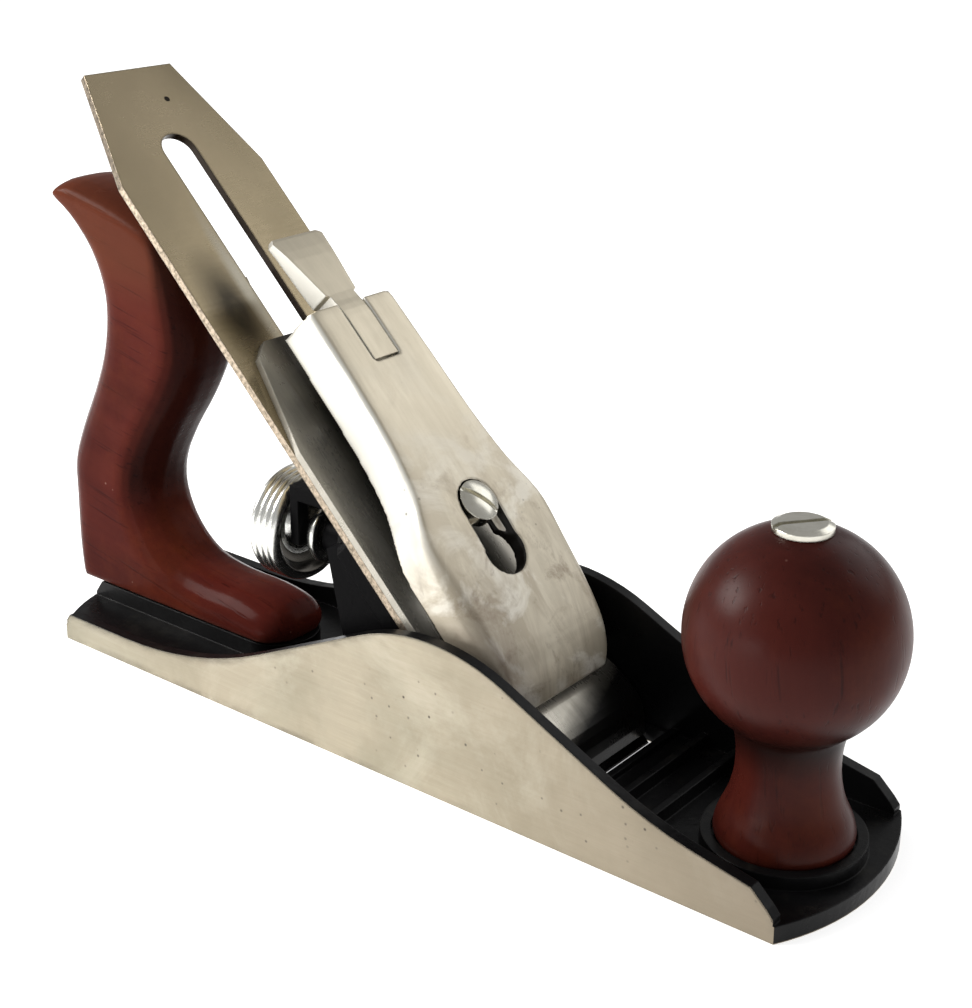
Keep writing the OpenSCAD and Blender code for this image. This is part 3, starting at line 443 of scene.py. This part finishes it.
def cap_iron_steel():
    """Bright along its edges, with painted shade towards the middle, where the lever cap covers it."""
    g = Graph("cap_iron_steel")
    streak = g.noise(60, 8, 0.75, g.on_bed((1, 7, 1)))
    cloud = g.noise(42, 6, 0.65, warp=0.3)
    color = g.ramp(streak, (0.28, (0.34, 0.32, 0.27)), (0.5, (0.45, 0.425, 0.365)),
                   (0.75, (0.55, 0.52, 0.455)))
    color = g.mix(g.ramp(cloud, (0.45, 0.0), (0.8, 0.3)), color, (0.12, 0.10, 0.075))
    # Painted shade where the lever cap covers the middle
    across = g.math("ADD", g.beside(), g.math("MULTIPLY", cloud, 0.003))
    covered = g.every(g.ramp(across, (0.0115, 1.0), (0.0205, 0.0)),
                      g.ramp(g.up_bed(), (0.028, 0.0), (0.045, 1.0)), 0.93)
    color = g.mix(covered, color, (0.014, 0.012, 0.010))
    color = g.mix(g.mouth_shade(), color, (0.010, 0.009, 0.008))
    rough = g.worn_rough(cloud, 0.25, g.ramp(streak, (0.2, 0.32), (0.8, 0.24)))
    return g.finish(color, rough, 0.6, g.bump(streak, 0.12, 0.0001, g.round_edges(0.0004)))


def wheel_plate():
    """Bright rim and hub, with painted shade on the dished face between them."""
    g = Graph("wheel_plate")
    streak = g.noise(60, 8, 0.75, g.mapped((20, 1, 1)))
    color = g.ramp(streak, (0.28, (0.70, 0.70, 0.66)), (0.5, (0.86, 0.86, 0.82)),
                   (0.75, (0.93, 0.93, 0.90)))
    # Painted shade on the dished face
    out = g.vector("DISTANCE", g.mapped((0, 1, 1)), (0, 0, WHEEL_Z))
    dish = g.every(g.math("LESS_THAN", out, RIM - 2.4 * MM),
                   g.math("GREATER_THAN", out, FLANGE_R + 0.1 * MM))
    color = g.mix(dish, color, (0.05, 0.046, 0.04))
    knurl = g.noise(1500, 2, 0.5, g.mapped((0.05, 1, 1)))
    return g.finish(color, g.ramp(streak, (0.2, 0.26), (0.8, 0.2)), 1.0,
                    g.bump(g.math("ADD", streak, knurl), 0.12, 0.0001, g.round_edges(0.0003)))


MATS = {
    "body": body_metal(),
    "black": japanned(),
    "tote_wood": wood("tote_wood", (0, math.radians(78), 0), front_shade, 1.05, 1.09, 0.15),
    "knob_wood": wood("knob_wood", (0, math.radians(6), 0), neck_painted_shade, 0.72, 1.19, 0.27),
    "nickel": steel("nickel", (0.55, 0.53, 0.45), (0.70, 0.68, 0.60), (0.82, 0.80, 0.73), 0.2, stains=0.15,
                    metallic=1.0),
    "rod": steel("turned_steel", (0.4, 0.39, 0.37), (0.52, 0.51, 0.48), (0.6, 0.59, 0.56), 0.35),
    "dark": steel("dark_steel", (0.10, 0.10, 0.095), (0.16, 0.155, 0.15), (0.22, 0.21, 0.2), 0.4),
    "lever": steel("dull_steel", (0.30, 0.285, 0.25), (0.42, 0.40, 0.355), (0.5, 0.48, 0.43), 0.38),
    "wheel": wheel_plate(),
    "iron": iron_steel(),
    "cap_iron": cap_iron_steel(),
    "plated": satin_plate("plated_cap", 1.0),
    "cam": satin_plate("plated_lever", 0.0),
}
NODE_MATS = {
    "body_casting": "body", "frog": "black", "frog_screws": "dark", "frog_washers": "dark",
    "depth_stud": "rod", "depth_wheel": "nickel", "yoke": "black", "yoke_pin": "rod",
    "lateral_lever": "lever", "lateral_rivet": "lever", "lateral_roller": "lever",
    "roller_rivet": "lever", "plane_iron": "iron", "cap_iron": "cap_iron", "cap_iron_screw": "dark",
    "lever_cap_screw": "nickel", "lever_cap": "plated", "cap_spring": "lever",
    "spring_rivet": "lever", "cam_pin": "rod", "cam_lever": "cam", "knob": "knob_wood", "tote": "tote_wood",
    "knob_rod": "rod", "tote_rod": "rod", "knob_nut": "nickel", "tote_nut": "nickel"}
for node, key in NODE_MATS.items():
    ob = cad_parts[node]
    ob.data.materials.clear()
    ob.data.materials.append(MATS[key])


def wear(ob, key, node, body):
    """A piece of the scene takes a material and stands in for a node on its body."""
    ob.data.materials.clear()
    ob.data.materials.append(MATS[key])
    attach(ob, body)
    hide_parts(node)


# The turned and carved pieces again, with smooth surfaces in place of the flat facets of the solids
def smooth_copy(node, key, voxel, rounds, body):
    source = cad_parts[node]
    ob = bpy.data.objects.new(node + "_smooth", source.data.copy())
    bpy.context.scene.collection.objects.link(ob)
    remesh = ob.modifiers.new("remesh", "REMESH")
    remesh.mode = "VOXEL"
    remesh.voxel_size = voxel
    remesh.use_smooth_shade = True
    relax = ob.modifiers.new("relax", "SMOOTH")
    relax.factor = 0.5
    relax.iterations = rounds
    evaluated = ob.evaluated_get(bpy.context.evaluated_depsgraph_get())
    mesh = bpy.data.meshes.new_from_object(evaluated)
    ob.modifiers.clear()
    ob.data = mesh
    for face in mesh.polygons:
        face.use_smooth = True
    wear(ob, key, node, body)


smooth_copy("tote", "tote_wood", 0.0008, 4, "casting")
smooth_copy("knob", "knob_wood", 0.0008, 6, "casting")
smooth_copy("lever_cap", "plated", 0.0005, 3, "lever_cap_set")


CREASE = math.radians(40)


def mesh_piece(name, verts, faces, key, node, body):
    mesh = bpy.data.meshes.new(name)
    mesh.from_pydata(verts, [], faces)
    bm = bmesh.new()
    bm.from_mesh(mesh)
    bmesh.ops.recalc_face_normals(bm, faces=bm.faces)
    for face in bm.faces:
        face.smooth = True
    for edge in bm.edges:
        edge.smooth = edge.calc_face_angle(0) < CREASE
    bm.to_mesh(mesh)
    bm.free()
    ob = bpy.data.objects.new(name, mesh)
    bpy.context.scene.collection.objects.link(ob)
    wear(ob, key, node, body)


# Depth wheel turned about X: flat back, four round ridges on its rim, dished front and a grooved neck
RIDGES, RIDGE_DEPTH, RIDGE_STEPS = 4, 0.75 * MM, 40
RIM_FROM, RIM_TO = 0.9 * MM, 9.8 * MM
SEGMENTS = 96
profile = [(0, BORE), (0, RIM - 3 * MM), (0.25 * MM, RIM - 1.4 * MM)]
for i in range(RIDGE_STEPS + 1):
    at = i / RIDGE_STEPS
    rise = abs(math.sin(at * RIDGES * math.pi)) ** 0.7
    profile.append((RIM_FROM + (RIM_TO - RIM_FROM) * at, RIM - RIDGE_DEPTH * (1 - rise)))
profile += [(BODY, RIM - 1.6 * MM), (BODY, RIM - 2.6 * MM), (BODY - 0.8 * MM, RIM - 3.4 * MM),
            (BODY - 3.4 * MM, RIM - 4.6 * MM), (BODY - 4 * MM, RIM - 6.5 * MM),
            (BODY - 4 * MM, NECK + 2 * MM), (BODY - 3 * MM, NECK + 1 * MM), (BODY - 1 * MM, NECK)]
profile += [(LENGTH - FLANGE_T, NECK), (LENGTH - FLANGE_T, FLANGE_R - 0.2 * MM),
            (LENGTH - FLANGE_T + 0.3 * MM, FLANGE_R), (LENGTH - 0.3 * MM, FLANGE_R),
            (LENGTH, FLANGE_R - 0.3 * MM), (LENGTH, BORE)]
verts, faces = [], []
for i in range(SEGMENTS):
    angle = 2 * math.pi * i / SEGMENTS
    verts += [(BACK + x, r * math.sin(angle), WHEEL_Z + r * math.cos(angle)) for x, r in profile]
rows = len(profile)
for i in range(SEGMENTS):
    this, following = i * rows, (i + 1) % SEGMENTS * rows
    for j in range(rows):
        k = (j + 1) % rows
        faces.append((this + j, this + k, following + k, following + j))
mesh_piece("depth_wheel_turned", verts, faces, "wheel", "depth_wheel", "wheel")


def smoothstep(a, b, v):
    """A soft step from 0 at a to 1 at b."""
    v = min(max((v - a) / (b - a), 0.0), 1.0)
    return v * v * (3 - 2 * v)


# Lateral lever again, pressed back in a soft S bend that keeps it behind the iron up to its thumb tab.
# In mm: s runs up the bed and w out of it. The solid goes back evenly, by CAD_DROP between two places.
CAD_FROM, CAD_TO, CAD_DROP = 126.0, 167.0, 5.0
BEND_FROM, BEND_TO, DROP = 121, 138, 7.4
LAST_CUT, CUT_STEP = 161, 2
TAB_LOW = -15.6
bm = bmesh.new()
bm.from_mesh(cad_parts["lateral_lever"].data)
for s in range(BEND_FROM, LAST_CUT + 1, CUT_STEP):
    bmesh.ops.bisect_plane(bm, geom=bm.verts[:] + bm.edges[:] + bm.faces[:],
                           plane_co=((MOUTH_X - S * s) * MM, 0, S * s * MM), plane_no=(-S, 0, S))
for v in bm.verts:
    x, z = v.co.x / MM - MOUTH_X, v.co.z / MM
    s, w = S * (z - x), S * (z + x)
    even = CAD_DROP * max(0.0, (s - CAD_FROM) / (CAD_TO - CAD_FROM))
    w = max(w + min(0.0, even - DROP * smoothstep(BEND_FROM, BEND_TO, s)), TAB_LOW)
    v.co = ((MOUTH_X + S * (w - s)) * MM, v.co.y, S * (s + w) * MM)
bm.verts.index_update()
lever_verts = [tuple(v.co) for v in bm.verts]
lever_faces = [[v.index for v in f.verts] for f in bm.faces]
bm.free()
mesh_piece("lateral_lever_bent", lever_verts, lever_faces, "lever", "lateral_lever", "lateral")


# Pale floor just under the sole, with a glow of its own that keeps its light even
FLOOR_HALF, FLOOR_Z, FLOOR_GLOW, WORLD_LIGHT = 6, -0.0002, 0.62, 0.42
floor_mesh = bpy.data.meshes.new("floor")
bm = bmesh.new()
bmesh.ops.create_grid(bm, x_segments=1, y_segments=1, size=FLOOR_HALF)
bm.to_mesh(floor_mesh)
bm.free()
floor_mesh.materials.append(
    Graph("pale_floor").finish((0.92, 0.92, 0.92), 0.9, Specular_IOR_Level=0.0,
                               Emission_Color=(1, 1, 1, 1), Emission_Strength=FLOOR_GLOW))
floor = bpy.data.objects.new("floor", floor_mesh)
floor.location.z = FLOOR_Z
bpy.context.scene.collection.objects.link(floor)

world = bpy.data.worlds.new("studio")
bpy.context.scene.world = world
world.use_nodes = True
sky = world.node_tree.nodes["Background"].inputs
sky["Color"].default_value = (1, 1, 1, 1)
sky["Strength"].default_value = WORLD_LIGHT
bpy.context.scene.view_settings.view_transform = "Standard"


def soft_light(name, at, target, size, power, color=(1, 1, 1)):
    data = bpy.data.lights.new(name, "AREA")
    data.shape = "RECTANGLE"
    data.size, data.size_y = size
    data.energy = power
    data.color = color
    ob = bpy.data.objects.new(name, data)
    ob.location = at
    ob.rotation_mode = "QUATERNION"
    ob.rotation_quaternion = (Vector(target) - Vector(at)).to_track_quat("-Z", "Y")
    bpy.context.scene.collection.objects.link(ob)


soft_light("key", (-0.95, -0.62, 0.75), (0, 0, 0.06), (0.7, 0.5), 19, (1, 0.985, 0.96))
soft_light("front", (-0.25, -0.95, 0.12), (0, 0, 0.05), (0.6, 0.2), 1.3)
soft_light("back", (0.30, 0.75, 0.56), (0, 0, 0.06), (0.8, 0.6), 1.9)

# Camera: place, azimuth, elevation and roll in degrees, focal length and centre in pixels
SENSOR = 36
CAM = (0.28461, -0.33382, 0.24291)
AZ, EL, ROLL, FOCAL, CX, CY = 36.56, 18.19, -1.02, 1814.42, 561.6, 377.86
WIDE, HIGH = 972, 1008
a, e, r = map(math.radians, (AZ, EL, ROLL))
back = Vector((math.sin(a) * math.cos(e), -math.cos(a) * math.cos(e), math.sin(e)))
right = Vector((math.cos(a), math.sin(a), 0))
up = back.cross(right)
turned_right = right * math.cos(r) - up * math.sin(r)
turned_up = right * math.sin(r) + up * math.cos(r)
cam_data = bpy.data.cameras.new("camera")
cam_data.sensor_fit = "AUTO"
cam_data.sensor_width = SENSOR
cam_data.lens = FOCAL / HIGH * SENSOR
cam_data.shift_x = (WIDE / 2 - CX) / HIGH
cam_data.shift_y = (CY - HIGH / 2) / HIGH
cam_data.clip_start = 0.01
cam = bpy.data.objects.new("camera", cam_data)
cam.matrix_world = Matrix((
    (turned_right.x, turned_up.x, back.x, CAM[0]),
    (turned_right.y, turned_up.y, back.y, CAM[1]),
    (turned_right.z, turned_up.z, back.z, CAM[2]),
    (0, 0, 0, 1)))
bpy.context.scene.collection.objects.link(cam)
bpy.context.scene.camera = cam
